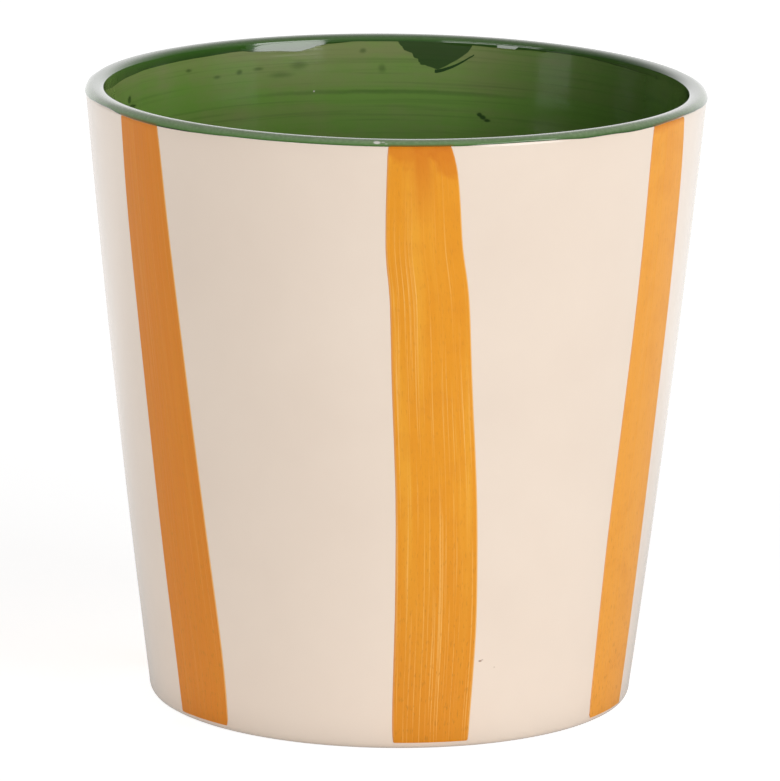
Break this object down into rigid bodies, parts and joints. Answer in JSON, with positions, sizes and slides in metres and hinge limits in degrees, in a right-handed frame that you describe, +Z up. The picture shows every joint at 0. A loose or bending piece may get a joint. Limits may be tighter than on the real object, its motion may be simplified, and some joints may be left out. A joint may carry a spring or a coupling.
{
  "type": "cachepot",
  "caption": "Round tapered earthenware cachepot, cream outside with hand-painted ochre stripes and a green glazed inside and lip.",
  "frame": {"origin": "centre of the foot, on the plane that the pot stands on", "axes": "+Z up along the pot's axis; the front, with the widest view of one stripe, faces -Y; +X is to the viewer's right"},
  "size_m": [0.1496, 0.1498, 0.1497],
  "materials": {
    "bare_earthenware": "unglazed fired clay, matt, seen only on the foot",
    "green_glaze": "brushed gloss glaze, thin enough to show its strokes",
    "cream_glaze": "satin gloss glaze",
    "ochre_slip": "brushed slip under the same satin gloss"
  },
  "bodies": {
    "root": {"earthenware_body": "bare_earthenware", "green_glaze_lining": "green_glaze", "cream_glaze_coat": "cream_glaze", "ochre_stripe_front": "ochre_slip", "ochre_stripe_front_right": "ochre_slip", "ochre_stripe_back_right": "ochre_slip", "ochre_stripe_back": "ochre_slip", "ochre_stripe_back_left": "ochre_slip", "ochre_stripe_front_left": "ochre_slip"}
  },
  "joints": []
}
